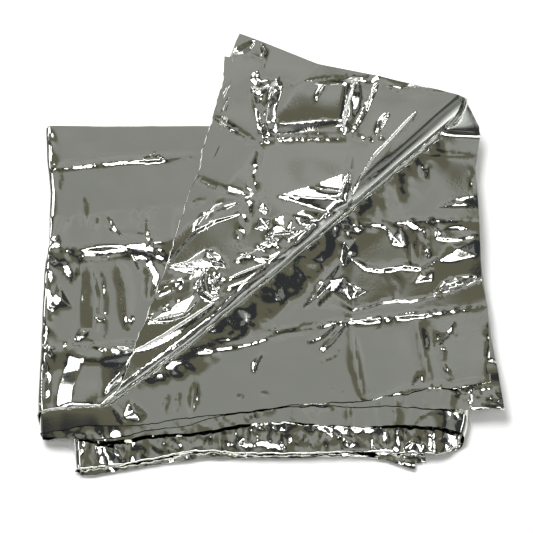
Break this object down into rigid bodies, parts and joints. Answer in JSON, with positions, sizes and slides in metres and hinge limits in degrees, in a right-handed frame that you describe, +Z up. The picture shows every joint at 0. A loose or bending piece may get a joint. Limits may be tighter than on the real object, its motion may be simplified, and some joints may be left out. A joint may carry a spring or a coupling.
{
  "type": "emergency foil blanket, folded",
  "caption": "Thin silvery emergency blanket folded into a flat pack of loose, creased plies, with the two top plies turned back over a diagonal fold.",
  "frame": {"origin": "middle of the folded pack's outline, on the surface it lies on", "axes": "+X along the front edge to the right, +Y from the front edge to the back fold, +Z up"},
  "size_m": [0.5615, 0.5666, 0.063],
  "materials": {
    "foil_film": "bright metallised polyester film, smooth panels between fine creases"
  },
  "bodies": {
    "root": {"blanket": "foil_film"}
  },
  "joints": []
}
